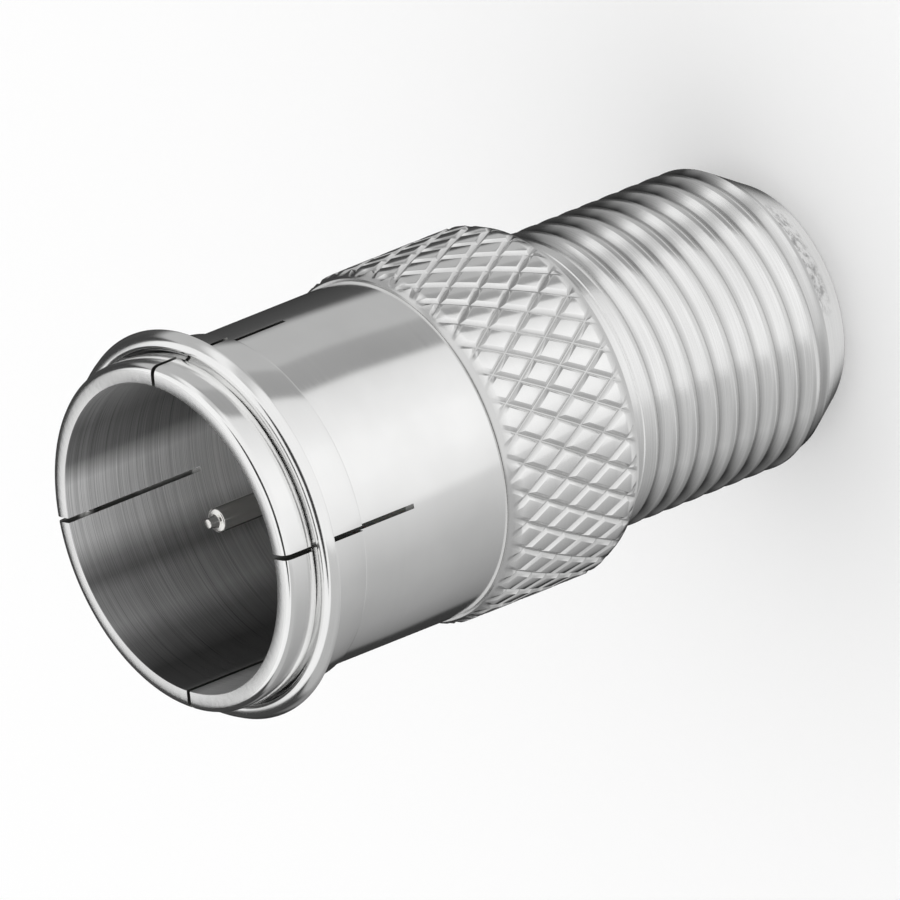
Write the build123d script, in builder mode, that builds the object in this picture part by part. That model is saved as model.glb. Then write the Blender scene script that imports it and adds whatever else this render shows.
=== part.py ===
"""Coaxial adapter: push-on plug with a slotted sleeve to a threaded jack, with a knurled hub between.

The adapter stands on the nose of its jack. +Z points up out of the plug's mouth, and the origin is
the centre of the nose's end face. Lengths are in millimetres.
"""

import os
from math import ceil, pi, tan, radians

from build123d import *

# Lengths along the axis, from the jack's nose up to the plug's mouth
nose_cone_length = 1.6
thread_length = 6.85
neck_length = 1.1
hub_length = 5.1
barrel_length = 5.69
band_length = 1.36
ring_groove_length = 0.78
collar_length = 0.92

# Jack
thread_diameter = 9.45
nose_end_diameter = 7.5
nose_edge_radius = 0.15
nose_hole_diameter = 5.8
nose_lip_length = 1.2

# Hub
hub_valley_diameter = 10.8
knurl_height = 0.2
knurl_count = 36
knurl_row_pitch = 0.7875
knurl_groove_floor = 0.06
knurl_flank_angle = 40
knurl_flank_root = 0.03
knurl_root_depth = 0.07
knurl_edge_chamfer = 0.2
hub_bore_diameter = 6.8

# Slotted sleeve: one bore with a wall of four thicknesses, a floor, and a tail round the hub's bore
sleeve_bore_diameter = 9.84
barrel_wall = 0.42
band_wall = 0.58
ring_groove_wall = 0.33
collar_wall = 0.61
sleeve_floor_thickness = 0.55
floor_hole_diameter = 5.2
tail_wall = 0.9
tail_length = 3.0
mouth_outer_chamfer = 0.12
mouth_inner_chamfer = 0.1
slot_width = 0.24
slot_length = 5.2
slot_angles = (90, 174)

# Spring ring: its wall from bore to rim, and how far its two cones fall from the rim
ring_wall = 0.86
ring_front_drop = 0.32
ring_rear_drop = 0.39
ring_rim_width = 0.1
ring_rear_cone_length = 0.2
ring_side_gap = 0.03

# Centre contact: a pin pressed into a slit socket
pin_diameter = 0.8
pin_tip_diameter = 0.3
pin_tip_length = 0.4
pin_setback = 1.45
pin_seat_depth = 3.0
socket_diameter = 2.4
socket_bore_diameter = 1.1
socket_bore_depth = 6.0
socket_mouth_chamfer = 0.25
socket_slit_width = 0.22
socket_slit_length = 4.2
socket_setback = 0.25
socket_collar_diameter = 4.0
socket_collar_length = 1.0
socket_stub_diameter = 1.8
socket_stub_length = 1.2

# Insulators
insulator_recess = 0.15
wire_hole_diameter = 1.3
wire_funnel_diameter = 2.6
wire_funnel_depth = 0.55
socket_face_height = 1.15

# Clearances, on the radius
slip = 0.03
seat_gap = 0.05

# Heights of the shoulders
thread_bottom = nose_cone_length
neck_bottom = thread_bottom + thread_length
hub_bottom = neck_bottom + neck_length
hub_top = hub_bottom + hub_length
band_bottom = hub_top + barrel_length
groove_bottom = band_bottom + band_length
collar_bottom = groove_bottom + ring_groove_length
mouth_top = collar_bottom + collar_length
floor_top = hub_top + sleeve_floor_thickness
tail_bottom = hub_top - tail_length
pin_top = mouth_top - pin_setback
socket_bottom = socket_face_height + socket_setback
insulator_joint = neck_bottom + neck_length / 2
collar_top = insulator_joint + socket_collar_length
stub_top = collar_top + socket_stub_length

# Radii of the sleeve's steps and of the ring
barrel_radius = sleeve_bore_diameter / 2 + barrel_wall
band_radius = sleeve_bore_diameter / 2 + band_wall
ring_groove_radius = sleeve_bore_diameter / 2 + ring_groove_wall
collar_radius = sleeve_bore_diameter / 2 + collar_wall
tail_radius = hub_bore_diameter / 2 + tail_wall
ring_bore_radius = ring_groove_radius + slip
ring_rim_radius = ring_bore_radius + ring_wall


def half_section(points):
    """Face on the XZ plane with its outline through (radius, height) points."""
    with BuildSketch(Plane.XZ) as section:
        with BuildLine():
            Polyline(*points, close=True)
        make_face()
    return section.sketch


# One diamond of the knurl, a low flat-topped pyramid lying across the +X axis.
# Its flanks start just inside the drum, and a narrow flat groove floor stays between diamonds.
valley_radius = hub_valley_diameter / 2
crest_radius = valley_radius + knurl_height
cell_half_width = pi * valley_radius / knurl_count
cell_half_depth = cell_half_width * knurl_row_pitch / (cell_half_width**2 + knurl_row_pitch**2) ** 0.5
flank_slope = tan(radians(knurl_flank_angle))
root_share = 1 - (knurl_groove_floor / 2 - knurl_flank_root * flank_slope) / cell_half_depth
root_half_width = cell_half_width * root_share
root_half_height = knurl_row_pitch * root_share
flank_height = knurl_height + knurl_flank_root

with BuildPart() as diamond:
    with BuildSketch(Plane.YZ.offset(valley_radius - knurl_root_depth)):
        with BuildLine():
            Polyline(
                (root_half_width, 0),
                (0, root_half_height),
                (-root_half_width, 0),
                (0, -root_half_height),
                close=True,
            )
        make_face()
    extrude(amount=knurl_root_depth + knurl_height)
    crest_face = diamond.faces().sort_by(Axis.X)[-1]
    chamfer(crest_face.edges(), flank_height * flank_slope, flank_height, reference=crest_face)

# Rows of diamonds stand half a cell apart around the hub, from its front edge downwards.
# A column holds every second row, with the hub's two edge chamfers cut across its diamonds.
row_top = hub_top + knurl_edge_chamfer / 2
row_total = ceil((row_top - hub_bottom) / knurl_row_pitch) + 1
cell_angle = 360 / knurl_count

columns = []
for first_row in (0, 1):
    row_places = [(0, 0, row_top - row * knurl_row_pitch) for row in range(first_row, row_total, 2)]
    with BuildPart() as column:
        with Locations(*row_places):
            add(diamond.part)
        with BuildSketch(Plane.XZ):
            with BuildLine():
                Polyline(
                    (0, hub_bottom),
                    (valley_radius, hub_bottom),
                    (crest_radius, hub_bottom + knurl_edge_chamfer),
                    (crest_radius, hub_top - knurl_edge_chamfer),
                    (valley_radius, hub_top),
                    (0, hub_top),
                    close=True,
                )
            make_face()
        extrude(amount=cell_half_width, both=True, mode=Mode.INTERSECT)
    columns.append(column.part)

# Hub and threaded jack, turned in one piece. The hub's drum has a flat for each half cell of the
# knurl, so that every facet of the knurl is plane. The bores are cut from the hub's end.
with BuildPart() as hub_body:
    add(half_section([
        (0, 0),
        (nose_end_diameter / 2, 0),
        (thread_diameter / 2, thread_bottom),
        (thread_diameter / 2, hub_bottom),
        (0, hub_bottom),
    ]))
    revolve(axis=Axis.Z)
    nose_rim = hub_body.edges().filter_by(GeomType.CIRCLE).group_by(Axis.Z)[0].sort_by(SortBy.RADIUS)[-1]
    fillet(nose_rim, nose_edge_radius)
    with BuildSketch(Plane.XY.offset(hub_bottom)):
        RegularPolygon(valley_radius, 2 * knurl_count)
    extrude(amount=hub_length)
    add(half_section([
        (0, 0),
        (nose_hole_diameter / 2, 0),
        (nose_hole_diameter / 2, nose_lip_length),
        (hub_bore_diameter / 2, nose_lip_length),
        (hub_bore_diameter / 2, tail_bottom - seat_gap),
        (tail_radius, tail_bottom - seat_gap),
        (tail_radius, hub_top),
        (0, hub_top),
    ]))
    revolve(axis=Axis.Z, mode=Mode.SUBTRACT)
    for column_index, column_part in enumerate(columns):
        with PolarLocations(0, knurl_count, start_angle=column_index * cell_angle / 2):
            add(column_part, clean=False)
hub_body.part.label = "hub_body"

# Sleeve: collar, ring groove, band and barrel on one bore, and a tail pressed into the hub.
with BuildPart() as slotted_sleeve:
    add(half_section([
        (sleeve_bore_diameter / 2, mouth_top),
        (collar_radius, mouth_top),
        (collar_radius, collar_bottom),
        (ring_groove_radius, collar_bottom),
        (ring_groove_radius, groove_bottom),
        (band_radius, groove_bottom),
        (band_radius, band_bottom),
        (barrel_radius, band_bottom),
        (barrel_radius, hub_top),
        (tail_radius, hub_top),
        (tail_radius, tail_bottom),
        (hub_bore_diameter / 2, tail_bottom),
        (hub_bore_diameter / 2, hub_top - seat_gap),
        (floor_hole_diameter / 2, hub_top - seat_gap),
        (floor_hole_diameter / 2, floor_top),
        (sleeve_bore_diameter / 2, floor_top),
    ]))
    revolve(axis=Axis.Z)
    mouth_rims = slotted_sleeve.edges().filter_by(GeomType.CIRCLE).group_by(Axis.Z)[-1].sort_by(SortBy.RADIUS)
    chamfer(mouth_rims[0], mouth_inner_chamfer)
    chamfer(mouth_rims[-1], mouth_outer_chamfer)
    # Two saw cuts across the whole mouth leave four spring fingers.
    for slot_angle in slot_angles:
        with BuildSketch(Plane.XY.offset(mouth_top - slot_length)):
            Rectangle(2 * ring_rim_radius, slot_width, rotation=slot_angle)
        extrude(amount=slot_length, mode=Mode.SUBTRACT)
slotted_sleeve.part.label = "slotted_sleeve"

# Ring that holds the fingers in: a cone rising from the collar, a narrow rim and a short back cone.
ring_bottom = groove_bottom + ring_side_gap
ring_top = collar_bottom - ring_side_gap
ring_rim_bottom = ring_bottom + ring_rear_cone_length
with BuildPart() as spring_ring:
    add(half_section([
        (ring_bore_radius, ring_top),
        (ring_rim_radius - ring_front_drop, ring_top),
        (ring_rim_radius, ring_rim_bottom + ring_rim_width),
        (ring_rim_radius, ring_rim_bottom),
        (ring_rim_radius - ring_rear_drop, ring_bottom),
        (ring_bore_radius, ring_bottom),
    ]))
    revolve(axis=Axis.Z)
spring_ring.part.label = "spring_ring"

# Pin with a blunt cone at its tip. Its foot is pressed into the socket's stub.
pin_foot = stub_top - pin_seat_depth
with BuildPart() as centre_pin:
    add(half_section([
        (0, pin_foot),
        (pin_diameter / 2, pin_foot),
        (pin_diameter / 2, pin_top - pin_tip_length),
        (pin_tip_diameter / 2, pin_top),
        (0, pin_top),
    ]))
    revolve(axis=Axis.Z)
centre_pin.part.label = "centre_pin"

# Socket: a slit tube that opens downwards, with a collar that the insulators clamp.
with BuildPart() as socket_contact:
    add(half_section([
        (0, socket_bottom),
        (socket_diameter / 2, socket_bottom),
        (socket_diameter / 2, insulator_joint),
        (socket_collar_diameter / 2, insulator_joint),
        (socket_collar_diameter / 2, collar_top),
        (socket_stub_diameter / 2, collar_top),
        (socket_stub_diameter / 2, stub_top),
        (0, stub_top),
    ]))
    revolve(axis=Axis.Z)
    with Locations(Plane.XY.offset(socket_bottom).rotated((180, 0, 0))):
        CounterSinkHole(
            socket_bore_diameter / 2,
            socket_bore_diameter / 2 + socket_mouth_chamfer,
            depth=socket_bore_depth,
            counter_sink_angle=90,
        )
    with Locations(Plane.XY.offset(stub_top)):
        Hole(pin_diameter / 2, depth=pin_seat_depth)
    with BuildSketch(Plane.XY.offset(socket_bottom)):
        Rectangle(socket_collar_diameter, socket_slit_width)
    extrude(amount=socket_slit_length, mode=Mode.SUBTRACT)
socket_contact.part.label = "socket_contact"

# Plug-side insulator: a stepped bush on the socket's collar, held down by the sleeve's floor.
with BuildPart() as front_insulator:
    add(half_section([
        (socket_collar_diameter / 2 + slip, insulator_joint),
        (hub_bore_diameter / 2 - slip, insulator_joint),
        (hub_bore_diameter / 2 - slip, hub_top - seat_gap),
        (floor_hole_diameter / 2 - slip, hub_top - seat_gap),
        (floor_hole_diameter / 2 - slip, floor_top - insulator_recess),
        (pin_diameter / 2 + slip, floor_top - insulator_recess),
        (pin_diameter / 2 + slip, stub_top + seat_gap),
        (socket_stub_diameter / 2 + slip, stub_top + seat_gap),
        (socket_stub_diameter / 2 + slip, collar_top),
        (socket_collar_diameter / 2 + slip, collar_top),
    ]))
    revolve(axis=Axis.Z)
front_insulator.part.label = "front_insulator"

# Jack-side insulator: a bush round the socket with a funnel that guides a wire in.
with BuildPart() as rear_insulator:
    add(half_section([
        (wire_funnel_diameter / 2, insulator_recess),
        (nose_hole_diameter / 2 - slip, insulator_recess),
        (nose_hole_diameter / 2 - slip, nose_lip_length),
        (hub_bore_diameter / 2 - slip, nose_lip_length),
        (hub_bore_diameter / 2 - slip, insulator_joint),
        (socket_diameter / 2 + slip, insulator_joint),
        (socket_diameter / 2 + slip, socket_face_height),
        (wire_hole_diameter / 2, socket_face_height),
        (wire_hole_diameter / 2, insulator_recess + wire_funnel_depth),
    ]))
    revolve(axis=Axis.Z)
rear_insulator.part.label = "rear_insulator"

os.makedirs("parts", exist_ok=True)
pieces = [hub_body, slotted_sleeve, spring_ring, centre_pin, socket_contact, front_insulator, rear_insulator]
for piece in pieces:
    export_step(piece.part, f"parts/{piece.part.label}.step")
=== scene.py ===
"""Coaxial adapter: a push-on plug with a slotted sleeve, a knurled hub and a threaded jack.

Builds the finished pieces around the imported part, with their metal and plastic finishes, and a
plain studio to look at them in. Lengths are in metres, +Z points up out of the plug's mouth.
"""

from math import atan2, ceil, cos, floor, pi, radians, sin, tan

import bmesh
import bpy
from bpy.props import FloatProperty, FloatVectorProperty, IntProperty, PointerProperty
from bpy.types import NodeSocket, Operator, Panel, PropertyGroup
from mathutils import Matrix, Vector


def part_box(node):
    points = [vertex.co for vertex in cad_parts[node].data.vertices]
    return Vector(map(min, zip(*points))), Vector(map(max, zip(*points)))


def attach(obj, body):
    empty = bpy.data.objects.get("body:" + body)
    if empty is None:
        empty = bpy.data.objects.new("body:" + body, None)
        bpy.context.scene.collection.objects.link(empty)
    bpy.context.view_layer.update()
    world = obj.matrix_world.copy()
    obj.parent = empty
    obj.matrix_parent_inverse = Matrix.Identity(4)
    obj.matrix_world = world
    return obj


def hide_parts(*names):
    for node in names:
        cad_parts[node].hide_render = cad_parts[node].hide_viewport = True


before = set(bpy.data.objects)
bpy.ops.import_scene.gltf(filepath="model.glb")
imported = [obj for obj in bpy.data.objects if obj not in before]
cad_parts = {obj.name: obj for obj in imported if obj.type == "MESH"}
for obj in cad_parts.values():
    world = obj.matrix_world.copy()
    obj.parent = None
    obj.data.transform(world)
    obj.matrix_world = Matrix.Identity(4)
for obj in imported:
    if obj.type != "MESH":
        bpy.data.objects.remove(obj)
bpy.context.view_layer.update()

bl_info = {
    "name": "Coaxial Adapter",
    "version": (1, 0, 0),
    "blender": (4, 5, 0),
    "location": "View3D > Sidebar > Adapter",
    "description": "Models a slotted push-on plug to threaded jack adapter and its studio",
    "category": "Add Mesh",
}

MM = 0.001

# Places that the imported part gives
hub_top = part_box("hub_body")[1].z
sleeve_low, sleeve_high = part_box("slotted_sleeve")
ring_low, ring_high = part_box("spring_ring")
pin_low, pin_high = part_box("centre_pin")
mouth_top = sleeve_high.z

# Where the saw cuts lie round the sleeve, in degrees
SLOT_AZIMUTHS = (90, 174, 270, 354)

# An arc's steps, with more of them from a wide rounding on
ARC_STEPS = 3
WIDE_ARC_STEPS = 6
WIDE_ROUNDING = 0.1 * MM

# How near two vertices are that count as one, on a closed piece and on an open sheet
MERGE_DISTANCE = 0.0005 * MM
SHEET_MERGE_DISTANCE = 0.001 * MM

# How far a face's middle may lie from the surface that it belongs to
FACE_MARGIN = 0.01 * MM

# Height of the strips that join the hub's parts
JOINT = 0.05 * MM

# Steepest angle between faces that are still shaded softly
SMOOTH_ANGLE = radians(40)

# Scale of the turning streaks' noise, across the axis and along it
STREAK_SCALE = (150, 150, 42000)

# Stops by turn round the axis go from -X (0) by -Y (0.25), +X (0.5) and +Y (0.75) to -X again (1)

# Painted reflection bands in the bore: how bright the thin plate's colour is made, by turn
BORE_PAINTED_REFLECTIONS = (
    (0, 0.4), (0.58, 0.4), (0.65, 0.22), (0.69, 0.3), (0.715, 1), (0.775, 0.9), (0.8, 0.35),
    (0.815, 0.2), (0.83, 0.36), (0.865, 0.44), (0.89, 0.2), (0.93, 0.05), (0.975, 0.05), (1, 0.4),
)

# How tarnished the nose's plate is, by turn, and the grey that it tarnishes to
TARNISHED = ((0, 0), (0.26, 0), (0.29, 0.8), (0.38, 1), (0.42, 0), (1, 0))
TARNISH_GREY = 0.3

# Painted dark reflections near the thread's edges: how much of the plate's colour its grooves keep, by
# turn
THREAD_PAINTED_REFLECTIONS = (
    (0, 0.3), (0.03, 0.05), (0.11, 0.05), (0.165, 1), (0.445, 1), (0.49, 0.05), (0.56, 0.05),
    (0.62, 1), (0.93, 1), (1, 0.3),
)

# What polished metal sees of the studio low down and at its own level: brightness by turn round
# the axis, from behind the adapter (0) round by the camera's side (0.5)
LOW_STUDIO = (
    (0, 0.04), (0.085, 0.04), (0.1, 0.2), (0.165, 0.32), (0.3, 0.5), (0.39, 0.7), (0.405, 0.88),
    (0.48, 1), (0.54, 1), (0.655, 0.8), (0.667, 0.35), (0.73, 0.38), (0.742, 0.5), (0.84, 0.5),
    (0.865, 0.08), (1, 0.04),
)
LEVEL_STUDIO = (
    (0, 0.05), (0.14, 0.05), (0.16, 0.45), (0.39, 0.6), (0.41, 0.95), (0.65, 0.95), (0.68, 0.6),
    (0.7, 0.6), (0.725, 0.95), (0.75, 0.95), (0.78, 0.5), (0.84, 0.5), (0.86, 0.05), (1, 0.05),
)

# How much of the dark patch high over the camera shows, by the same turn
OVERHEAD_PATCH = ((0, 0), (0.27, 0), (0.29, 1), (0.68, 1), (0.7, 0), (1, 0))

# Greys of the floor straight below, of the studio high up and of the dark patch
FLOOR_GREY = 0.75
HIGH_GREY = 0.97
PATCH_GREY = 0.03

# Heights of view, from -1 straight down to 1 straight up, between which one band passes to the next
FLOOR_TO_LOW = (-0.85, -0.7)
LOW_TO_LEVEL = (-0.3, -0.1)
LEVEL_TO_HIGH = (0.53, 0.57)
PATCH_FOOT = (0.76, 0.8)
PATCH_TOP = (0.985, 0.995)

# The photograph's frame, in its own pixels
PHOTO_SIDE = 900
PHOTO_SCALE = 33.3 / MM
MOUTH_CENTRE_PIXEL = (170.9, 538.9)


def length(name, default, description):
    """A length that a user can change."""
    return FloatProperty(
        name=name, description=description, default=default, min=0, precision=5,
        subtype="DISTANCE", unit="LENGTH",
    )


def angle(name, default, description):
    """An angle that a user can change, given in degrees."""
    return FloatProperty(
        name=name, description=description, default=radians(default),
        subtype="ANGLE", unit="ROTATION",
    )


def count(name, default, least, description):
    """A whole number that a user can change."""
    return IntProperty(name=name, description=description, default=default, min=least)


def tint(name, default, description):
    """A surface colour."""
    return FloatVectorProperty(
        name=name, description=description, default=default, size=3, min=0, max=1, subtype="COLOR",
    )


class SleeveSizes(PropertyGroup):
    """Sizes of the slotted sleeve and its spring ring."""

    bore_radius: length("Bore radius", 4.91 * MM, "Inside of the sleeve")
    barrel_radius: length("Barrel radius", 5.34 * MM, "Plain part next to the hub")
    barrel_length: length("Barrel length", 5.69 * MM, "From the hub to the band")
    band_radius: length("Band radius", 5.5 * MM, "Low step below the ring")
    groove_radius: length("Groove radius", 5.25 * MM, "Seat of the spring ring")
    collar_length: length("Collar length", 1.04 * MM, "From the ring's groove to the mouth")
    groove_length: length("Groove length", 0.66 * MM, "Width of the ring's seat")
    floor_thickness: length("Floor thickness", 0.55 * MM, "Wall at the bottom of the bore")
    floor_hole_radius: length("Floor hole radius", 2.6 * MM, "Hole for the insulator")
    tail_radius: length("Tail radius", 4.3 * MM, "Tail pressed into the hub")
    lip_radius: length("Lip radius", 0.4 * MM, "Rounding of the mouth's outer edge")
    lip_bore_radius: length("Inner lip radius", 0.03 * MM, "Rounding of the mouth's inner edge")
    slot_length: length("Slot length", 5.2 * MM, "Depth of the saw cuts")
    edge_radius: length("Edge radius", 0.03 * MM, "Rounding of the turned edges")
    ring_gap: length("Ring gap", 0.03 * MM, "Gap between the collar and the ring")
    ring_face_radius: length("Ring face radius", 5.72 * MM, "Inner edge of the ring's flat face")
    ring_inner_fall: length("Ring inner fall", 0.09 * MM, "How far the face falls to its inner edge")
    ring_shoulder_radius: length("Ring shoulder radius", 5.967 * MM, "Corner of the face and the slope")
    ring_rim_width: length("Ring rim", 0.04 * MM, "Width of the ring's rim")
    ring_rear_drop: length("Ring rear drop", 0.39 * MM, "How far the back cone falls")
    ring_rear_length: length("Ring back cone", 0.2 * MM, "Length of the back cone")
    ring_rounding: length("Ring rounding", 0.35 * MM, "Rounding of the ring's shoulder")
    sides: count("Sides", 420, 90, "Steps around the sleeve and the ring")


class HubSizes(PropertyGroup):
    """Sizes of the knurled hub with its threaded jack."""

    drum_length: length("Hub length", 5.1 * MM, "Length of the knurled drum")
    valley_radius: length("Valley radius", 5.48 * MM, "Drum under the knurl")
    knurl_height: length("Knurl height", 0.11 * MM, "Height of the diamonds")
    knurl_count: count("Diamonds", 36, 8, "Diamonds around the hub")
    row_pitch: length("Row pitch", 0.7875 * MM, "Distance between rows of diamonds")
    groove_floor: length("Groove floor", 0.04 * MM, "Flat between diamonds")
    flank_angle: angle("Flank angle", 45, "Slope of a diamond's sides")
    crest_rounding: length("Crest rounding", 0.03 * MM, "Width of the soft edge round each diamond")
    crest_fall: length("Crest fall", 0.012 * MM, "Height of the soft edge round each diamond")
    edge_chamfer: length("Edge chamfer", 0.25 * MM, "Chamfer at the hub's ends")
    rim_width: length("Rim width", 0.14 * MM, "Plain rim beyond the diamonds")
    rim_fall: length("Rim fall", 0.06 * MM, "How far the rim falls to the hub's end")
    bore_radius: length("Bore radius", 3.4 * MM, "Bore for the insulators")
    seat_gap: length("Seat gap", 0.05 * MM, "Gap below the sleeve's tail")
    neck_length: length("Neck length", 1.1 * MM, "Plain neck below the hub")
    neck_groove_place: length("Neck groove place", 0.25 * MM, "From the thread to the fine groove")
    neck_groove_width: length("Neck groove width", 0.1 * MM, "Width of the neck's fine groove")
    neck_groove_depth: length("Neck groove depth", 0.03 * MM, "Depth of the neck's fine groove")
    thread_radius: length("Thread radius", 4.725 * MM, "Crest of the jack's thread")
    thread_pitch: length("Thread pitch", 0.794 * MM, "Rise of one turn")
    thread_depth: length("Thread depth", 0.15 * MM, "Depth of the worn, shallow groove")
    thread_rounding: length("Thread rounding", 0.18 * MM, "Rounding of the ridges")
    thread_phase: angle("Thread phase", -131.3, "Azimuth of a groove at the height of the end face")
    thread_steps: count("Thread steps", 144, 48, "Steps in a turn of the thread")
    runout: length("Thread run-out", 0.45 * MM, "Where the groove fades into the neck")
    nose_length: length("Nose cone", 1.6 * MM, "Length of the nose's cone")
    nose_radius: length("Nose radius", 3.75 * MM, "Radius at the end face")
    nose_hole_radius: length("Nose hole radius", 2.9 * MM, "Hole in the end face")
    nose_lip_length: length("Nose lip", 1.2 * MM, "Lip that holds the insulator")
    nose_rounding: length("Nose rounding", 0.15 * MM, "Rounding of the end face")
    sides: count("Sides", 192, 96, "Steps around the turned body")


class ContactSizes(PropertyGroup):
    """Sizes of the centre contact and its fit."""

    tip_radius: length("Tip radius", 0.15 * MM, "Flat at the pin's tip")
    nib_radius: length("Nib radius", 0.2 * MM, "Foot of the nib on the pin's end")
    tip_length: length("Tip length", 0.32 * MM, "Height of the nib")
    pin_rounding: length("Pin rounding", 0.09 * MM, "Rounding of the pin's end")
    slip: length("Slip", 0.03 * MM, "Clearance round fitted pieces")
    sides: count("Sides", 64, 16, "Steps around the pin")


class FinishColours(PropertyGroup):
    """Colours of the surfaces."""

    bright_nickel: tint("Bright nickel", (0.93, 0.93, 0.925), "Polished plate on the sleeve and ring")
    satin_nickel: tint("Satin nickel", (0.95, 0.95, 0.945), "Plate on the hub and thread")
    dull_nickel: tint("Bore nickel", (0.93, 0.93, 0.93), "Thin dull plate inside the sleeve")
    # Dark sawn walls: sawn metal, with the shade of the narrow slots painted into its colour
    sawn_metal_and_shade: tint("Sawn metal", (0.3, 0.3, 0.29), "Walls of the saw cuts")
    contact: tint("Contact", (0.86, 0.85, 0.82), "Plate on the pin and socket")
    plastic: tint("Insulator", (0.86, 0.86, 0.83), "Natural plastic of the insulators")


class StageSettings(PropertyGroup):
    """The camera and the floor."""

    camera_azimuth: angle("Camera azimuth", -70.5, "Direction of the camera from the adapter's axis")
    camera_elevation: angle("Camera elevation", 34.96, "Height of the camera above the floor's plane")
    camera_roll: angle("Camera roll", 21.75, "Slope of the adapter's axis in the picture")
    camera_distance: length("Camera distance", 80 * MM, "From the picture's centre to the camera")
    floor_size: length("Floor", 2000 * MM, "Side of the floor")


def deselect():
    """Leave every object unselected."""
    bpy.ops.object.select_all(action="DESELECT")


def take_up(piece):
    """Select the piece alone and make it the active object."""
    deselect()
    piece.select_set(True)
    bpy.context.view_layer.objects.active = piece


def pick(piece, kind, test):
    """In edit mode, select only the vertices, edges or faces that pass the test."""
    shape = bmesh.from_edit_mesh(piece.data)
    bpy.ops.mesh.select_mode(type={"verts": "VERT", "edges": "EDGE", "faces": "FACE"}[kind])
    bpy.ops.mesh.select_all(action="DESELECT")
    found = [part for part in getattr(shape, kind) if test(part)]
    if not found:
        raise RuntimeError(f"no {kind} to select on {piece.name}")
    for part in found:
        part.select_set(True)
    bmesh.update_edit_mesh(piece.data)


def traced(name, points):
    """Trace a line through (radius, height) points in the XZ plane, one vertex after another."""
    deselect()
    first_radius, first_height = points[0]
    bpy.ops.mesh.primitive_plane_add(size=MM, location=(first_radius, 0, first_height))
    piece = bpy.context.object
    piece.name = name
    piece.data.name = name
    bpy.ops.object.transform_apply(location=True, rotation=True, scale=True)
    bpy.ops.object.mode_set(mode="EDIT")
    bpy.ops.mesh.select_mode(type="VERT")
    bpy.ops.mesh.select_all(action="SELECT")
    bpy.ops.mesh.merge(type="CENTER")
    for (radius, height), (next_radius, next_height) in zip(points, points[1:]):
        step = (next_radius - radius, 0, next_height - height)
        bpy.ops.mesh.extrude_vertices_move(TRANSFORM_OT_translate={"value": step})
    bpy.ops.object.mode_set(mode="OBJECT")
    return piece


def merge_sheet(piece):
    """Merge what meets on an open sheet, with the faces left as they point."""
    bpy.ops.object.mode_set(mode="EDIT")
    bpy.ops.mesh.select_all(action="SELECT")
    bpy.ops.mesh.remove_doubles(threshold=SHEET_MERGE_DISTANCE)
    bpy.ops.object.mode_set(mode="OBJECT")


def close_up(piece):
    """Merge what meets and turn the faces outwards."""
    bpy.ops.object.mode_set(mode="EDIT")
    bpy.ops.mesh.select_all(action="SELECT")
    bpy.ops.mesh.remove_doubles(threshold=MERGE_DISTANCE)
    bpy.ops.mesh.normals_make_consistent(inside=False)
    if bmesh.from_edit_mesh(piece.data).calc_volume(signed=True) < 0:
        bpy.ops.mesh.flip_normals()
    bpy.ops.object.mode_set(mode="OBJECT")


def turned(name, points, sides):
    """Turn a line of (radius, height) points once about the Z axis."""
    piece = traced(name, points)
    bpy.ops.object.mode_set(mode="EDIT")
    bpy.ops.mesh.select_all(action="SELECT")
    bpy.ops.mesh.spin(steps=sides, angle=2 * pi, center=(0, 0, 0), axis=(0, 0, 1))
    bpy.ops.object.mode_set(mode="OBJECT")
    close_up(piece)
    return piece


def rounded(points, radius, closed=True):
    """The same outline with an arc of the given radius at each corner.

    A corner is (radius, height), or (radius, height, rounding) to have its own rounding. An arc
    takes less than half of a side that ends in another arc, and nearly all of one that ends sharp.
    """
    def share(corner):
        """The part of a side that an arc may take, given the side's other corner."""
        return 0.95 if len(corner) > 2 and corner[2] == 0 else 0.45

    result = []
    total = len(points)
    for index, corner in enumerate(points):
        here = Vector(corner[:2])
        rounding = corner[2] if len(corner) > 2 else radius
        if rounding == 0 or (not closed and index in (0, total - 1)):
            result.append(tuple(here))
            continue
        previous = points[index - 1]
        following = points[(index + 1) % total]
        before = Vector(previous[:2]) - here
        after = Vector(following[:2]) - here
        half_turn = before.angle(after) / 2
        room = min(share(previous) * before.length, share(following) * after.length)
        reach = min(rounding / tan(half_turn), room)
        start = here + before.normalized() * reach
        end = here + after.normalized() * reach
        steps = ARC_STEPS if rounding < WIDE_ROUNDING else WIDE_ARC_STEPS
        for step in range(steps + 1):
            along = step / steps
            bend = start.lerp(here, along).lerp(here.lerp(end, along), along)
            result.append(tuple(bend))
    return result


def applied(piece, kind, **settings):
    """Add a modifier to the piece with these settings and apply it."""
    take_up(piece)
    modifier = piece.modifiers.new(kind.lower(), kind)
    for key, value in settings.items():
        setattr(modifier, key, value)
    bpy.ops.object.modifier_apply(modifier=modifier.name)


def smooth(piece):
    """Shade softly across all but sharp edges, with flat faces kept flat."""
    take_up(piece)
    bpy.ops.object.shade_smooth_by_angle(angle=SMOOTH_ANGLE)
    applied(piece, "WEIGHTED_NORMAL", keep_sharp=True)


def cut_level(piece, height, **clear):
    """Cut the piece across at a height, and drop one side if asked to."""
    bpy.ops.object.mode_set(mode="EDIT")
    bpy.ops.mesh.select_all(action="SELECT")
    bpy.ops.mesh.bisect(plane_co=(0, 0, height), plane_no=(0, 0, 1), threshold=0.0001 * MM, **clear)
    bpy.ops.object.mode_set(mode="OBJECT")


def finish_piece(piece, material, slot, *nodes):
    """Give a piece its material and tie it to the part."""
    piece.data.materials.clear()
    piece.data.materials.append(material)
    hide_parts(*nodes)
    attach(piece, "root")


def add_finish(piece, material):
    """Add one more material to a piece and give its number."""
    piece.data.materials.append(material)
    return len(piece.data.materials) - 1


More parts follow.
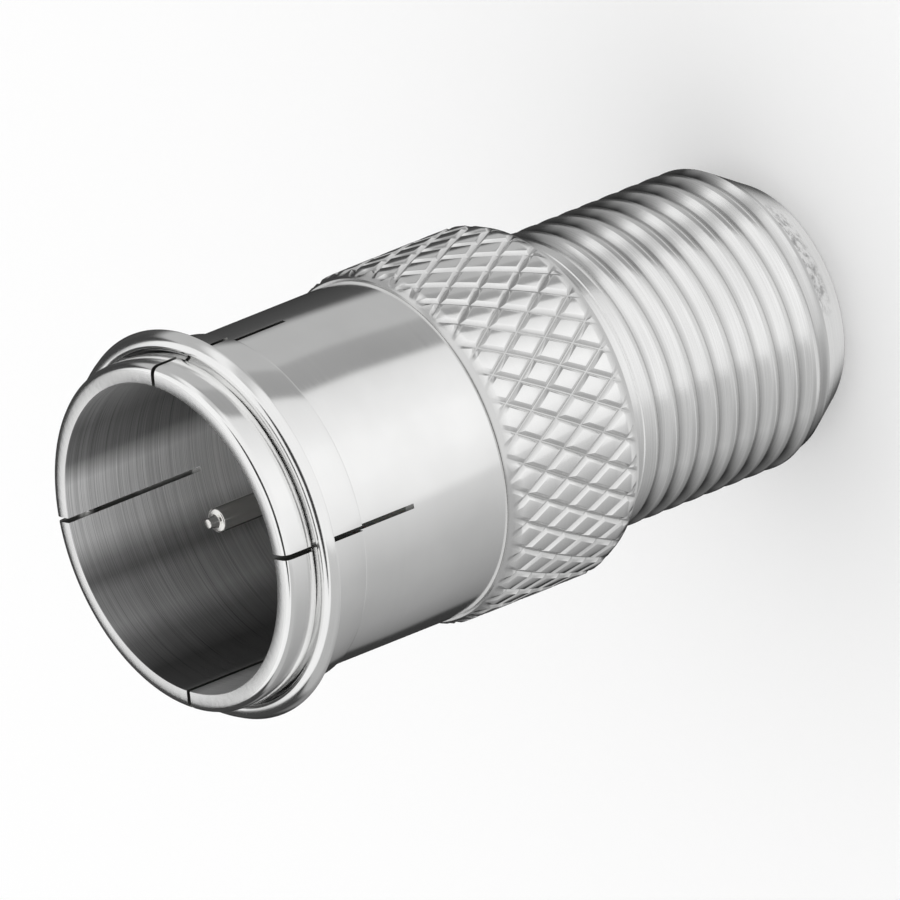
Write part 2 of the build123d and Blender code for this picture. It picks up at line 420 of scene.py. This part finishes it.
def node_of(tree, kind, **values):
    """A new shader node. Each value is one of its settings, or an input's value or link by name."""
    node = tree.nodes.new(kind)
    for key, value in values.items():
        if hasattr(node, key):
            setattr(node, key, value)
            continue
        socket = node.inputs[key.replace("_", " ")]
        if isinstance(value, NodeSocket):
            tree.links.new(value, socket)
        else:
            socket.default_value = value
    return node


def grey(brightness):
    """A colour of one brightness."""
    return (brightness, brightness, brightness, 1)


def noise(tree, vector, scale, detail, roughness):
    """Noise of finer and finer detail, from 0 to 1."""
    return node_of(tree, "ShaderNodeTexNoise", Vector=vector, Scale=scale, Detail=detail,
                   Roughness=roughness).outputs["Fac"]


def stepped(tree, value, start, end, low=0, high=1):
    """What goes from low to high as the value goes from start to end."""
    return node_of(tree, "ShaderNodeMapRange", Value=value, From_Min=start, From_Max=end,
                   To_Min=low, To_Max=high).outputs["Result"]


def mixed(tree, factor, first, second):
    """Two colours mixed by a factor, from all the first to all the second."""
    return node_of(tree, "ShaderNodeMix", data_type="RGBA", Factor=factor,
                   A=first, B=second).outputs["Result"]


def multiplied(tree, first, second):
    """The product of two colours."""
    return node_of(tree, "ShaderNodeMix", data_type="RGBA", blend_type="MULTIPLY", Factor=1,
                   A=first, B=second).outputs["Result"]


def two_tone(tree, value, colour, dark, start, end):
    """A colour that goes from its dark share up to itself as the value goes from start to end."""
    ramp = node_of(tree, "ShaderNodeValToRGB", Fac=value)
    elements = ramp.color_ramp.elements
    elements[0].position = start
    elements[0].color = (*[part * dark for part in colour], 1)
    elements[1].position = end
    elements[1].color = (*colour, 1)
    return ramp.outputs["Color"]


def turn_ramp(tree, vector, stops):
    """Greys of (turn, brightness) stops, by the turn of a vector round the Z axis."""
    parts = node_of(tree, "ShaderNodeSeparateXYZ", Vector=vector)
    around = node_of(tree, "ShaderNodeMath", operation="ARCTAN2")
    tree.links.new(parts.outputs["Y"], around.inputs[0])
    tree.links.new(parts.outputs["X"], around.inputs[1])
    ramp = node_of(tree, "ShaderNodeValToRGB", Fac=stepped(tree, around.outputs["Value"], -pi, pi))
    elements = ramp.color_ramp.elements
    for element, (turn, brightness) in ((elements[0], stops[0]), (elements[-1], stops[-1])):
        element.position = turn
        element.color = grey(brightness)
    for turn, brightness in stops[1:-1]:
        elements.new(turn).color = grey(brightness)
    return ramp.outputs["Color"]


def relief(tree, height, strength, depth, **under):
    """A bumped normal, on top of another one where it is given."""
    return node_of(tree, "ShaderNodeBump", Height=height, Strength=strength, Distance=depth,
                   **under).outputs["Normal"]


def new_material(name):
    """A material, with its tree, its shader and the place on the object that it goes by."""
    material = bpy.data.materials.new(name)
    material.use_nodes = True
    tree = material.node_tree
    place = tree.nodes.new("ShaderNodeTexCoord").outputs["Object"]
    return material, tree, tree.nodes["Principled BSDF"], place


def metal(name, colour, roughness, grain_scale, streak_bump, streak_shade, painted_reflection_bands=None, gloss=1):
    """Plated metal with fine turning streaks round the axis, soft blotches and a light grain.

    The plate's colour can carry painted reflection bands, given by turn round the axis, and the plate
    has a matt share where its gloss is below 1.
    """
    material, tree, shader, place = new_material(name)
    streak_map = node_of(tree, "ShaderNodeMapping", Vector=place, Scale=STREAK_SCALE)
    streaks = noise(tree, streak_map.outputs["Vector"], scale=1, detail=3, roughness=0.6)
    grain = noise(tree, place, scale=grain_scale, detail=4, roughness=0.65)
    blotches = noise(tree, place, scale=420, detail=3, roughness=0.5)

    plate = two_tone(tree, blotches, colour, dark=0.94, start=0.3, end=0.65)
    plate = multiplied(tree, plate, stepped(tree, streaks, 0.35, 0.65, low=1 - streak_shade))
    # Painted reflections: lighter and darker bands of colour by turn round the axis
    if painted_reflection_bands:
        plate = multiplied(tree, plate, turn_ramp(tree, place, painted_reflection_bands))
    polish = stepped(tree, streaks, 0.3, 0.7, low=0.75 * roughness, high=1.3 * roughness)
    streak_relief = relief(tree, streaks, streak_bump, depth=0.002 * MM)
    grain_relief = relief(tree, grain, streak_bump, depth=0.004 * MM, Normal=streak_relief)

    shader.inputs["Metallic"].default_value = gloss
    shader.inputs["IOR"].default_value = 1.5
    tree.links.new(plate, shader.inputs["Base Color"])
    tree.links.new(polish, shader.inputs["Roughness"])
    tree.links.new(grain_relief, shader.inputs["Normal"])
    return material


def plastic(name, colour):
    """Satin natural plastic with a faint mottle and a moulded grain."""
    material, tree, shader, place = new_material(name)
    mottle = noise(tree, place, scale=500, detail=3, roughness=0.5)
    grain = noise(tree, place, scale=9000, detail=2, roughness=0.5)
    shader.inputs["Roughness"].default_value = 0.45
    shader.inputs["Subsurface Weight"].default_value = 0.15
    shader.inputs["Subsurface Scale"].default_value = 0.4 * MM
    tree.links.new(two_tone(tree, mottle, colour, dark=0.92, start=0, end=1), shader.inputs["Base Color"])
    tree.links.new(relief(tree, grain, 0.2, depth=0.004 * MM), shader.inputs["Normal"])
    return material


def plate_of(material):
    """What a further layer on a plate needs: the tree, the colour's socket and link, and the place."""
    tree = material.node_tree
    base = tree.nodes["Principled BSDF"].inputs["Base Color"]
    place = tree.nodes.new("ShaderNodeTexCoord").outputs["Object"]
    return tree, base, base.links[0].from_socket, place


def shade_grooves(material, floor_radius, crest_radius, shade):
    """Paint shade into a plate, darker from its crests' radius down to its grooves' floor.

    The shade that the floor keeps is one number, or a tuple of stops by turn round the axis.
    """
    tree, base, plate, place = plate_of(material)
    level = node_of(tree, "ShaderNodeVectorMath", operation="MULTIPLY", Vector=place)
    level.inputs[1].default_value = (1, 1, 0)
    radius = node_of(tree, "ShaderNodeVectorMath", operation="LENGTH", Vector=level.outputs["Vector"])
    if isinstance(shade, tuple):
        shade = turn_ramp(tree, place, shade)
    depth = stepped(tree, radius.outputs["Value"], floor_radius, crest_radius, low=shade)
    tree.links.new(multiplied(tree, plate, depth), base)


def tarnish(material, low, high):
    """Darken a plate with small blotches between two heights, along the tarnished turn."""
    tree, base, plate, place = plate_of(material)
    parts = node_of(tree, "ShaderNodeSeparateXYZ", Vector=place)
    blotches = noise(tree, place, scale=3200, detail=5, roughness=0.7)
    amount = turn_ramp(tree, place, TARNISHED)
    shares = (
        stepped(tree, blotches, 0.44, 0.62),
        stepped(tree, parts.outputs["Z"], low, 1.5 * low),
        stepped(tree, parts.outputs["Z"], high, 0.85 * high),
    )
    for share in shares:
        product = node_of(tree, "ShaderNodeMath", operation="MULTIPLY")
        tree.links.new(amount, product.inputs[0])
        tree.links.new(share, product.inputs[1])
        amount = product.outputs["Value"]
    tree.links.new(mixed(tree, amount, plate, grey(TARNISH_GREY)), base)


def azimuth_of(point):
    """Azimuth of a point about the Z axis, in radians."""
    return atan2(point.y, point.x)


def turn_between(first, second):
    """Smallest turn between two azimuths, in radians, always positive."""
    return abs((first - second + pi) % (2 * pi) - pi)


def saw_slots(sleeve, sides, slot_bottom):
    """Saw the slots down to a height, each as wide as two of the sleeve's sides, and wall them."""
    side_angle = 2 * pi / sides
    slots = [round(radians(slot) / side_angle) * side_angle for slot in SLOT_AZIMUTHS]
    above = slot_bottom + 0.001 * MM

    def sawn_away(face):
        """Whether a face lies in a slot."""
        middle = face.calc_center_median()
        azimuth = azimuth_of(middle)
        return middle.z > above and any(turn_between(azimuth, slot) < side_angle for slot in slots)

    def open_along(azimuth, reach):
        """A test for open edges with both ends near an azimuth."""
        return lambda edge: edge.is_boundary and all(
            turn_between(azimuth_of(vert.co), azimuth) < reach for vert in edge.verts)

    bpy.ops.object.mode_set(mode="EDIT")
    pick(sleeve, "faces", sawn_away)
    bpy.ops.mesh.delete(type="FACE")
    for slot in slots:
        for side in (-side_angle, side_angle):
            pick(sleeve, "edges", open_along(slot + side, side_angle / 4))
            bpy.ops.mesh.edge_face_add()
        pick(sleeve, "edges", open_along(slot, 1.25 * side_angle))
        bpy.ops.mesh.edge_face_add()
    bpy.ops.object.mode_set(mode="OBJECT")
    close_up(sleeve)


class ADAPTER_OT_sleeve(Operator):
    """Turn the sleeve and saw its four slots"""

    bl_idname = "adapter.sleeve"
    bl_label = "Slotted sleeve"

    def execute(self, context):
        sizes = context.scene.adapter_sleeve
        hub = context.scene.adapter_hub
        colours = context.scene.adapter_colours
        collar_radius = sleeve_high.x
        band_bottom = hub_top + sizes.barrel_length
        collar_bottom = mouth_top - sizes.collar_length
        groove_bottom = collar_bottom - sizes.groove_length
        slot_bottom = mouth_top - sizes.slot_length
        floor_top = hub_top + sizes.floor_thickness
        floor_bottom = hub_top - hub.seat_gap

        section = rounded([
            (hub.bore_radius, sleeve_low.z),
            (sizes.tail_radius, sleeve_low.z),
            (sizes.tail_radius, hub_top, 0),
            (sizes.barrel_radius, hub_top),
            (sizes.barrel_radius, slot_bottom, 0),
            (sizes.barrel_radius, band_bottom, 0),
            (sizes.band_radius, band_bottom),
            (sizes.band_radius, groove_bottom),
            (sizes.groove_radius, groove_bottom),
            (sizes.groove_radius, collar_bottom),
            (collar_radius, collar_bottom),
            (collar_radius, mouth_top, sizes.lip_radius),
            (sizes.bore_radius, mouth_top, sizes.lip_bore_radius),
            (sizes.bore_radius, slot_bottom, 0),
            (sizes.bore_radius, floor_top),
            (sizes.floor_hole_radius, floor_top),
            (sizes.floor_hole_radius, floor_bottom, 0),
            (hub.bore_radius, floor_bottom, 0),
        ], sizes.edge_radius)
        sleeve = turned("slotted_sleeve_finished", [*section, section[0]], sizes.sides)
        saw_slots(sleeve, sizes.sides, slot_bottom)
        smooth(sleeve)

        polished = metal("bright_nickel", colours.bright_nickel, roughness=0.12, grain_scale=5000,
                         streak_bump=0.05, streak_shade=0.02)
        finish_piece(sleeve, polished, "nickel_plate", "slotted_sleeve")
        # The bore's plate carries painted reflection bands by turn
        bore_plate = add_finish(sleeve, metal(
            "bore_nickel", colours.dull_nickel, roughness=0.34, grain_scale=6000,
            streak_bump=0.6, streak_shade=0.4, painted_reflection_bands=BORE_PAINTED_REFLECTIONS, gloss=0.1))
        # The slot walls' dark colour is partly painted shade of the narrow slots
        saw_cut = add_finish(sleeve, metal(
            "saw_cut", colours.sawn_metal_and_shade, roughness=0.35, grain_scale=6000,
            streak_bump=0.8, streak_shade=0.3))
        lip_plate = add_finish(sleeve, metal(
            "lip_nickel", colours.bright_nickel, roughness=0.2, grain_scale=5000,
            streak_bump=0.6, streak_shade=0.25))
        sideways = 0.3
        for face in sleeve.data.polygons:
            middle = face.center
            outward = middle.xy.normalized().dot(face.normal.xy)
            if middle.xy.length < sizes.bore_radius + FACE_MARGIN and middle.z > floor_bottom:
                face.material_index = bore_plate
            elif middle.z > slot_bottom and max(abs(outward), abs(face.normal.z)) < sideways:
                face.material_index = saw_cut
            elif middle.z > mouth_top - FACE_MARGIN:
                face.material_index = lip_plate
        return {"FINISHED"}


class ADAPTER_OT_ring(Operator):
    """Turn the spring ring with its rounded shoulder and back cone"""

    bl_idname = "adapter.ring"
    bl_label = "Spring ring"

    def execute(self, context):
        sizes = context.scene.adapter_sleeve
        colours = context.scene.adapter_colours
        rim_radius = ring_high.x
        bore = sizes.groove_radius + context.scene.adapter_contact.slip
        rim_bottom = ring_low.z + sizes.ring_rear_length
        face = mouth_top - sizes.collar_length - sizes.ring_gap
        inner_edge = sleeve_high.x + 2 * sizes.ring_gap
        section = rounded([
            (bore, ring_low.z),
            (rim_radius - sizes.ring_rear_drop, ring_low.z),
            (rim_radius, rim_bottom),
            (rim_radius, rim_bottom + sizes.ring_rim_width, 0),
            (sizes.ring_shoulder_radius, face, sizes.ring_rounding),
            (sizes.ring_face_radius, face, 0),
            (inner_edge, face - sizes.ring_inner_fall),
            (bore, face - 2 * sizes.ring_inner_fall),
        ], sizes.edge_radius)
        ring = turned("spring_ring_finished", [*section, section[0]], sizes.sides)
        smooth(ring)
        plate = metal("ring_nickel", colours.bright_nickel, roughness=0.14, grain_scale=5000,
                      streak_bump=0.15, streak_shade=0.04)
        finish_piece(ring, plate, "nickel_plate", "spring_ring")
        return {"FINISHED"}


def nose_cone_radius(sizes, height):
    """Radius of the nose's cone at a height."""
    widening = (sizes.thread_radius - sizes.nose_radius) / sizes.nose_length
    return sizes.nose_radius + widening * height


def nose_height(sizes, radius):
    """Height at which the nose's cone has a radius."""
    return (radius - sizes.nose_radius) * sizes.nose_length / (sizes.thread_radius - sizes.nose_radius)


def knurled_band(sizes, top, bottom):
    """Diamonds laid out on a flat sheet, cut to the hub's length and bent once round it."""
    cell_width = 2 * pi * sizes.valley_radius / sizes.knurl_count
    row_top = top + sizes.edge_chamfer / 2
    rows = ceil(((row_top - bottom) / sizes.row_pitch + 1) / 2)
    deselect()
    bpy.ops.mesh.primitive_circle_add(
        vertices=4, radius=1, fill_type="NGON", rotation=(pi / 2, 0, 0), location=(0, 0, row_top))
    sheet = bpy.context.object
    sheet.scale = (cell_width / 2, sizes.row_pitch, 1)
    bpy.ops.object.transform_apply(location=True, rotation=True, scale=True)
    bpy.ops.object.mode_set(mode="EDIT")
    bpy.ops.mesh.select_all(action="SELECT")
    bpy.ops.mesh.inset(thickness=sizes.groove_floor / 2, depth=0)
    flank_height = sizes.knurl_height - sizes.crest_fall
    bpy.ops.mesh.inset(thickness=flank_height * tan(sizes.flank_angle), depth=flank_height)
    bpy.ops.mesh.inset(thickness=sizes.crest_rounding, depth=sizes.crest_fall)
    bpy.ops.object.mode_set(mode="OBJECT")

    applied(sheet, "ARRAY", count=sizes.knurl_count, use_relative_offset=False,
            use_constant_offset=True, constant_offset_displace=(cell_width, 0, 0))
    applied(sheet, "ARRAY", count=rows, use_relative_offset=False,
            use_constant_offset=True, constant_offset_displace=(0, 0, -2 * sizes.row_pitch))
    take_up(sheet)
    bpy.ops.object.duplicate()
    bpy.ops.transform.translate(value=(cell_width / 2, 0, -sizes.row_pitch))
    bpy.ops.object.transform_apply(location=True, rotation=True, scale=True)
    sheet.select_set(True)
    bpy.ops.object.join()
    sheet = bpy.context.object
    merge_sheet(sheet)

    cut_level(sheet, top - JOINT, clear_outer=True)
    cut_level(sheet, bottom + JOINT, clear_inner=True)
    for inset in (sizes.rim_width, sizes.rim_width + sizes.edge_chamfer):
        cut_level(sheet, top - inset)
        cut_level(sheet, bottom + inset)
    for vert in sheet.data.vertices:
        to_rim = min(top - vert.co.z, vert.co.z - bottom) - sizes.rim_width
        ceiling = sizes.knurl_height * max(to_rim, 0) / sizes.edge_chamfer
        fall = sizes.rim_fall * max(-to_rim, 0) / sizes.rim_width
        vert.co.y = max(vert.co.y, -ceiling) + fall

    # The staggered rows make the sheet half a diamond wider than the hub's girth
    halves = 2 * sizes.knurl_count
    applied(sheet, "SIMPLE_DEFORM", deform_method="BEND", deform_axis="Z",
            angle=2 * pi * (halves + 1) / halves)
    bpy.ops.transform.translate(value=(0, -sizes.valley_radius, 0))
    bpy.ops.object.transform_apply(location=True, rotation=True, scale=True)
    merge_sheet(sheet)
    return sheet


def threaded_band(sizes, foot, top):
    """One turn of the thread's section, screwed round the jack and faded at both ends."""
    pitch = sizes.thread_pitch
    crest = sizes.thread_radius
    groove = crest - sizes.thread_depth
    start = pitch * (floor((foot - pitch) / pitch - 1) - sizes.thread_phase / (2 * pi))
    turns = ceil((top - start) / pitch) + 1

    # Where the ridge begins, crests and ends along one pitch
    ridge_foot, crest_start, crest_end, ridge_end = (0.03, 0.36, 0.56, 0.97)
    section = [
        (groove, 0),
        (groove, ridge_foot),
        (crest, crest_start),
        (crest, crest_end),
        (groove, ridge_end),
        (groove, 1),
    ]
    points = [(radius, start + along * pitch) for radius, along in section]
    thread = traced("thread", rounded(points, sizes.thread_rounding, closed=False))
    applied(thread, "SCREW", angle=2 * pi, screw_offset=pitch, iterations=turns,
            steps=sizes.thread_steps, render_steps=sizes.thread_steps, axis="Z",
            use_merge_vertices=True, merge_threshold=SHEET_MERGE_DISTANCE)
    merge_sheet(thread)
    cut_level(thread, top, clear_outer=True)
    cut_level(thread, foot, clear_inner=True)
    for vert in thread.data.vertices:
        radius = vert.co.xy.length
        fade = min(max((top - vert.co.z) / sizes.runout, 0), 1)
        wanted = crest - (crest - radius) * fade * fade * (3 - 2 * fade)
        wanted = min(wanted, nose_cone_radius(sizes, vert.co.z))
        vert.co.x *= wanted / radius
        vert.co.y *= wanted / radius
    return thread


def grooved_neck(sizes, thread_top, hub_bottom, rim_radius, edge):
    """The plain neck over the thread, with its fine groove, and the hub's lower end."""
    groove_foot = thread_top + sizes.neck_groove_place
    groove_radius = sizes.thread_radius - sizes.neck_groove_depth
    return turned("neck", rounded([
        (sizes.thread_radius, thread_top + JOINT),
        (sizes.thread_radius, groove_foot),
        (groove_radius, groove_foot + sizes.neck_groove_width / 3),
        (groove_radius, groove_foot + sizes.neck_groove_width * 2 / 3),
        (sizes.thread_radius, groove_foot + sizes.neck_groove_width),
        (sizes.thread_radius, hub_bottom, edge),
        (rim_radius, hub_bottom),
    ], 0, closed=False), sizes.sides)


def bored_core(sizes, thread_foot, tail_radius, rim_radius, edge):
    """The nose, the bore for the insulators, the seat of the sleeve's tail and the hub's upper end."""
    tail_bottom = sleeve_low.z - sizes.seat_gap
    return turned("body", rounded([
        (nose_cone_radius(sizes, thread_foot - JOINT), thread_foot - JOINT),
        (sizes.nose_radius, 0, sizes.nose_rounding),
        (sizes.nose_hole_radius, 0, edge),
        (sizes.nose_hole_radius, sizes.nose_lip_length, edge),
        (sizes.bore_radius, sizes.nose_lip_length, edge),
        (sizes.bore_radius, tail_bottom, edge),
        (tail_radius, tail_bottom, edge),
        (tail_radius, hub_top, edge),
        (rim_radius, hub_top),
    ], 0, closed=False), sizes.sides)


class ADAPTER_OT_hub(Operator):
    """Roll the knurl, cut the thread and join them to the turned body"""

    bl_idname = "adapter.hub"
    bl_label = "Knurled hub and threaded jack"

    def execute(self, context):
        sizes = context.scene.adapter_hub
        sleeve = context.scene.adapter_sleeve
        colours = context.scene.adapter_colours
        hub_bottom = hub_top - sizes.drum_length
        thread_top = hub_bottom - sizes.neck_length
        thread_foot = nose_height(sizes, sizes.thread_radius - 1.5 * sizes.thread_depth)
        rim_radius = sizes.valley_radius - sizes.rim_fall

        knurl = knurled_band(sizes, hub_top, hub_bottom)
        thread = threaded_band(sizes, thread_foot, thread_top)
        neck = grooved_neck(sizes, thread_top, hub_bottom, rim_radius, sleeve.edge_radius)
        body = bored_core(sizes, thread_foot, sleeve.tail_radius, rim_radius, sleeve.edge_radius)
        take_up(body)
        for part in (knurl, thread, neck):
            part.select_set(True)
        bpy.ops.object.join()
        body.name = "hub_body_finished"
        bpy.ops.object.mode_set(mode="EDIT")
        for height in (thread_foot, thread_top, hub_bottom, hub_top):
            pick(body, "edges", lambda edge: edge.is_boundary and all(
                abs(vert.co.z - height) < 1.2 * JOINT for vert in edge.verts))
            bpy.ops.mesh.bridge_edge_loops()
        bpy.ops.object.mode_set(mode="OBJECT")
        close_up(body)
        smooth(body)

        knurl_plate = metal("satin_nickel", colours.satin_nickel, roughness=0.16, grain_scale=7000,
                            streak_bump=0.25, streak_shade=0.04)
        knurl_crest = sizes.valley_radius + sizes.knurl_height
        # Painted shade in the knurl's grooves
        shade_grooves(knurl_plate, sizes.valley_radius, knurl_crest, 0.75)
        finish_piece(body, knurl_plate, "nickel_plate", "hub_body")

        jack_finish = {"roughness": 0.2, "grain_scale": 6000, "streak_bump": 0.5, "streak_shade": 0.12}
        thread_plate = metal("thread_nickel", colours.satin_nickel, **jack_finish)
        thread_floor = sizes.thread_radius - sizes.thread_depth
        # Painted shade in the thread's grooves
        shade_grooves(thread_plate, thread_floor, thread_floor + 0.4 * sizes.thread_depth, 0.7)
        # Painted dark reflections in the grooves near the thread's edges
        shade_grooves(thread_plate, thread_floor, thread_floor + 1.5 * sizes.thread_depth, THREAD_PAINTED_REFLECTIONS)
        nose_plate = metal("nose_nickel", colours.satin_nickel, **jack_finish)
        tarnish(nose_plate, 0.3 * sizes.nose_length, sizes.nose_length)
        jack = add_finish(body, thread_plate)
        nose = add_finish(body, nose_plate)
        for face in body.data.polygons:
            if face.center.z < thread_foot:
                face.material_index = nose
            elif face.center.z < hub_bottom:
                face.material_index = jack
        return {"FINISHED"}


class ADAPTER_OT_contacts(Operator):
    """Turn the pin and give the socket and the insulators their finish"""

    bl_idname = "adapter.contacts"
    bl_label = "Pin, socket and insulators"

    def execute(self, context):
        sizes = context.scene.adapter_contact
        edge = context.scene.adapter_sleeve.edge_radius
        colours = context.scene.adapter_colours
        contact = metal("contact_plate", colours.contact, roughness=0.16, grain_scale=9000,
                        streak_bump=0.15, streak_shade=0.04)
        natural = plastic("natural_plastic", colours.plastic)

        nib_bottom = pin_high.z - sizes.tip_length
        pin = turned("centre_pin_finished", rounded([
            (0, pin_low.z),
            (pin_high.x, pin_low.z),
            (pin_high.x, nib_bottom, sizes.pin_rounding),
            (sizes.nib_radius, nib_bottom),
            (sizes.tip_radius, pin_high.z),
            (0, pin_high.z),
        ], edge, closed=False), sizes.sides)
        smooth(pin)
        finish_piece(pin, contact, "contact_plate", "centre_pin")

        finishes = {"socket_contact": contact, "front_insulator": natural, "rear_insulator": natural}
        for name, material in finishes.items():
            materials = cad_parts[name].data.materials
            materials.clear()
            materials.append(material)
        return {"FINISHED"}


def studio_world(camera_azimuth):
    """A white studio, with the strips and the dark patch that polished metal shows."""
    world = bpy.data.worlds.new("studio")
    bpy.context.scene.world = world
    world.use_nodes = True
    tree = world.node_tree
    place = tree.nodes.new("ShaderNodeTexCoord")
    turn = node_of(tree, "ShaderNodeMapping", vector_type="POINT", Vector=place.outputs["Generated"],
                   Rotation=(0, 0, -camera_azimuth))
    view = turn.outputs["Vector"]
    rise = node_of(tree, "ShaderNodeSeparateXYZ", Vector=view).outputs["Z"]

    def passing(below, over, heights):
        """One colour below a band's edge and another above it."""
        return mixed(tree, stepped(tree, rise, *heights), below, over)

    walls = passing(grey(FLOOR_GREY), turn_ramp(tree, view, LOW_STUDIO), FLOOR_TO_LOW)
    walls = passing(walls, turn_ramp(tree, view, LEVEL_STUDIO), LOW_TO_LEVEL)
    walls = passing(walls, grey(HIGH_GREY), LEVEL_TO_HIGH)
    patch = passing(grey(0), turn_ramp(tree, view, OVERHEAD_PATCH), PATCH_FOOT)
    patch = passing(patch, grey(0), PATCH_TOP)
    seen_in_metal = mixed(tree, patch, walls, grey(PATCH_GREY))

    glossy = tree.nodes.new("ShaderNodeLightPath").outputs["Is Glossy Ray"]
    seen = mixed(tree, glossy, grey(1), seen_in_metal)
    tree.links.new(seen, tree.nodes["Background"].inputs["Color"])


class ADAPTER_OT_stage(Operator):
    """Lay the floor, light the studio and set the camera"""

    bl_idname = "adapter.stage"
    bl_label = "Studio"

    def execute(self, context):
        stage = context.scene.adapter_stage
        deselect()
        bpy.ops.mesh.primitive_plane_add(size=stage.floor_size, location=(0, 0, 0))
        floor_plane = bpy.context.object
        floor_plane.name = "floor"
        paper = bpy.data.materials.new("paper")
        paper.use_nodes = True
        shader = paper.node_tree.nodes["Principled BSDF"]
        shader.inputs["Base Color"].default_value = grey(1)
        shader.inputs["Roughness"].default_value = 1
        shader.inputs["Specular IOR Level"].default_value = 0
        floor_plane.data.materials.append(paper)
        floor_plane.visible_glossy = False

        toward = Vector((
            cos(stage.camera_elevation) * cos(stage.camera_azimuth),
            cos(stage.camera_elevation) * sin(stage.camera_azimuth),
            sin(stage.camera_elevation),
        ))
        sideways = Vector((0, 0, 1)).cross(toward).normalized()
        away = sideways.cross(toward)
        roll = stage.camera_roll
        right = away * cos(roll) - sideways * sin(roll)
        up = away * sin(roll) + sideways * cos(roll)
        mouth = Vector((0, 0, mouth_top))
        mouth_to_right = (PHOTO_SIDE / 2 - MOUTH_CENTRE_PIXEL[0]) / PHOTO_SCALE
        mouth_to_top = (MOUTH_CENTRE_PIXEL[1] - PHOTO_SIDE / 2) / PHOTO_SCALE
        centre = mouth + right * mouth_to_right + up * mouth_to_top
        camera_data = bpy.data.cameras.new("camera")
        camera_data.type = "ORTHO"
        camera_data.ortho_scale = PHOTO_SIDE / PHOTO_SCALE
        camera_data.clip_start = MM
        camera = bpy.data.objects.new("camera", camera_data)
        context.collection.objects.link(camera)
        axes = Matrix((right, up, toward)).transposed().to_4x4()
        camera.matrix_world = Matrix.Translation(centre + toward * stage.camera_distance) @ axes
        context.scene.camera = camera
        context.scene.view_settings.view_transform = "Standard"
        studio_world(stage.camera_azimuth)
        return {"FINISHED"}


class ADAPTER_PT_panel(Panel):
    """Buttons that build the adapter"""

    bl_label = "Coaxial adapter"
    bl_idname = "ADAPTER_PT_panel"
    bl_space_type = "VIEW_3D"
    bl_region_type = "UI"
    bl_category = "Adapter"

    def draw(self, context):
        for operator in OPERATORS:
            self.layout.operator(operator.bl_idname)
        for group in GROUPS:
            settings = getattr(context.scene, group)
            box = self.layout.box()
            box.label(text=group.removeprefix("adapter_").title())
            for key in settings.__annotations__:
                box.prop(settings, key)


OPERATORS = (ADAPTER_OT_sleeve, ADAPTER_OT_ring, ADAPTER_OT_hub, ADAPTER_OT_contacts, ADAPTER_OT_stage)
GROUPS = {
    "adapter_sleeve": SleeveSizes,
    "adapter_hub": HubSizes,
    "adapter_contact": ContactSizes,
    "adapter_colours": FinishColours,
    "adapter_stage": StageSettings,
}


def register():
    """Register the settings, the operators and the panel."""
    for name, group in GROUPS.items():
        bpy.utils.register_class(group)
        setattr(bpy.types.Scene, name, PointerProperty(type=group))
    for operator in OPERATORS:
        bpy.utils.register_class(operator)
    bpy.utils.register_class(ADAPTER_PT_panel)


def unregister():
    """Take back what register added."""
    bpy.utils.unregister_class(ADAPTER_PT_panel)
    for operator in reversed(OPERATORS):
        bpy.utils.unregister_class(operator)
    for name, group in reversed(GROUPS.items()):
        delattr(bpy.types.Scene, name)
        bpy.utils.unregister_class(group)


def main():
    """Build the adapter and its studio."""
    register()
    bpy.ops.adapter.sleeve()
    bpy.ops.adapter.ring()
    bpy.ops.adapter.hub()
    bpy.ops.adapter.contacts()
    bpy.ops.adapter.stage()


if __name__ == "__main__":
    main()
